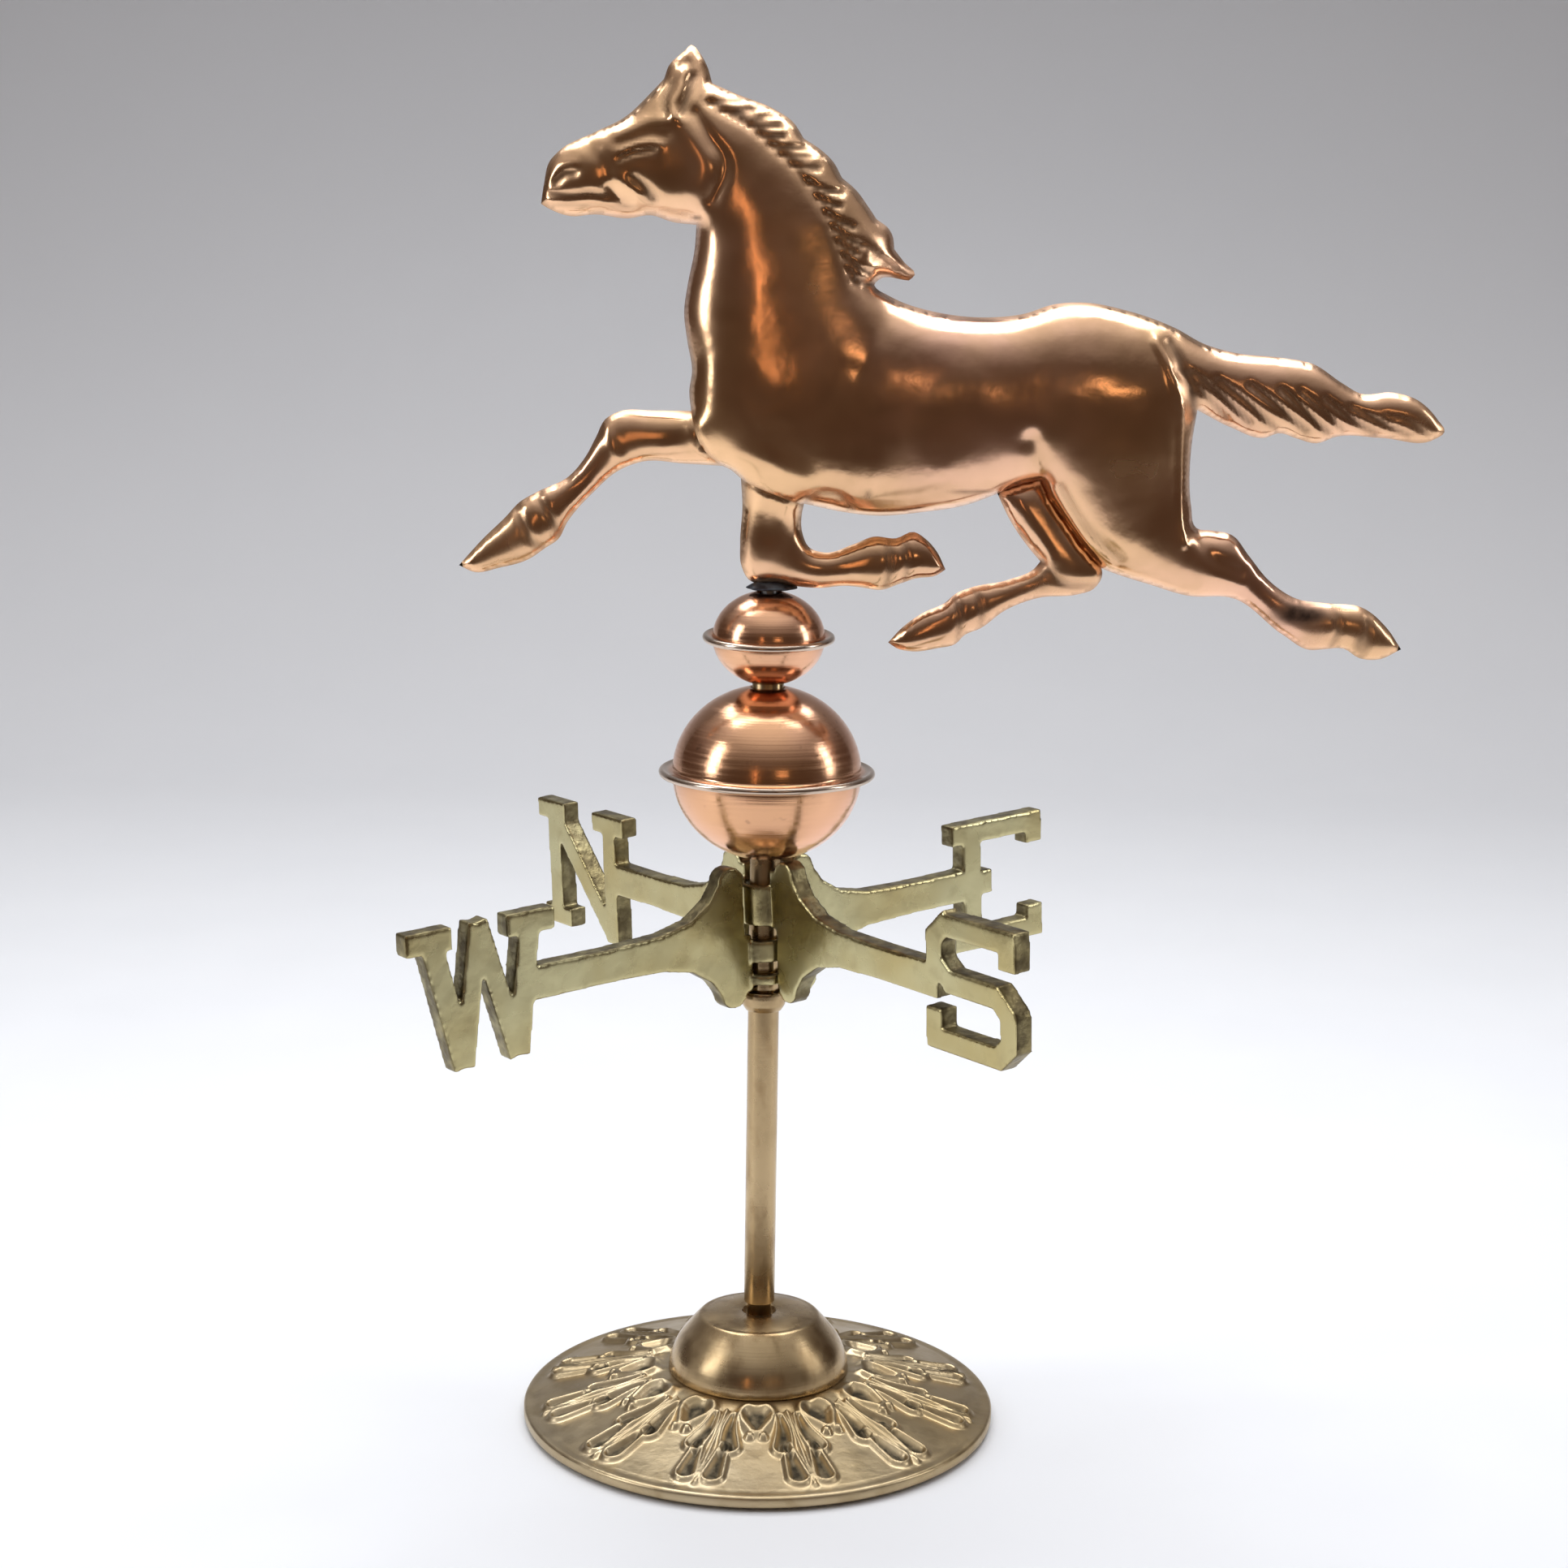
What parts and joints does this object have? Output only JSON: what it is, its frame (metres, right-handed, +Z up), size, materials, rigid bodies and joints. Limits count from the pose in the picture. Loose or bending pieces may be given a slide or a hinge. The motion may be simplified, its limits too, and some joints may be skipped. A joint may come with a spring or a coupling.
{
  "type": "weather vane",
  "caption": "Full-bodied copper running horse on copper globes, above cast brass compass letters, on a pole with a round cast brass base.",
  "frame": {"origin": "centre of the base's underside, on the pole's axis", "axes": "+Z up along the pole, -X where the horse's head points at rest"},
  "size_m": [0.4018, 0.2629, 0.5573],
  "materials": {
    "copper": "polished copper with soft dents and a light tarnish",
    "cast_brass": "satin cast brass, greenish yellow, dark in the recesses",
    "base_brass": "cast brass, golden brown, rubbed on the raised leaves",
    "turned_brass": "turned brass, mottled",
    "steel": "plain steel",
    "solder": "dull grey solder",
    "felt": "dark felt"
  },
  "bodies": {
    "stand": {"felt_pad": "felt", "base_dish": "base_brass", "base_hub": "turned_brass", "base_washer": "steel", "base_nut": "steel", "pole": "turned_brass", "stop_collar": "turned_brass", "collar_set_screw": "steel", "pole_bush": "turned_brass", "thrust_plug": "steel"},
    "directionals": {"directional_we": "cast_brass", "directional_ns": "cast_brass"},
    "large_globe": {"large_globe_lower": "copper", "large_globe_upper": "copper"},
    "small_globe": {"small_globe_lower": "copper", "small_globe_upper": "copper"},
    "bearing_ball": {"thrust_ball": "steel"},
    "vane": {"spindle": "steel", "knee_solder": "solder", "horse_body_near": "copper", "horse_body_far": "copper", "foreleg_reach_near": "copper", "foreleg_reach_far": "copper", "foreleg_fold_near": "copper", "foreleg_fold_far": "copper", "hind_leg_near": "copper", "hind_leg_far": "copper"}
  },
  "joints": [
    {"name": "vane_spin", "type": "hinge", "parent": "stand", "child": "vane", "pos_m": [0, 0, 0.3282], "axis": [0, 0, 1], "continuous": true},
    {"name": "directionals_turn", "type": "hinge", "parent": "stand", "child": "directionals", "pos_m": [0, 0, 0.2086], "axis": [0, 0, 1], "continuous": true},
    {"name": "large_globe_spin", "type": "hinge", "parent": "stand", "child": "large_globe", "pos_m": [0, 0, 0.2735], "axis": [0, 0, 1], "continuous": true},
    {"name": "small_globe_spin", "type": "hinge", "parent": "stand", "child": "small_globe", "pos_m": [0, 0, 0.3282], "axis": [0, 0, 1], "continuous": true},
    {"name": "bearing_ball_spin", "type": "hinge", "parent": "stand", "child": "bearing_ball", "pos_m": [0, 0, 0.2058], "axis": [0, 0, 1], "continuous": true}
  ]
}
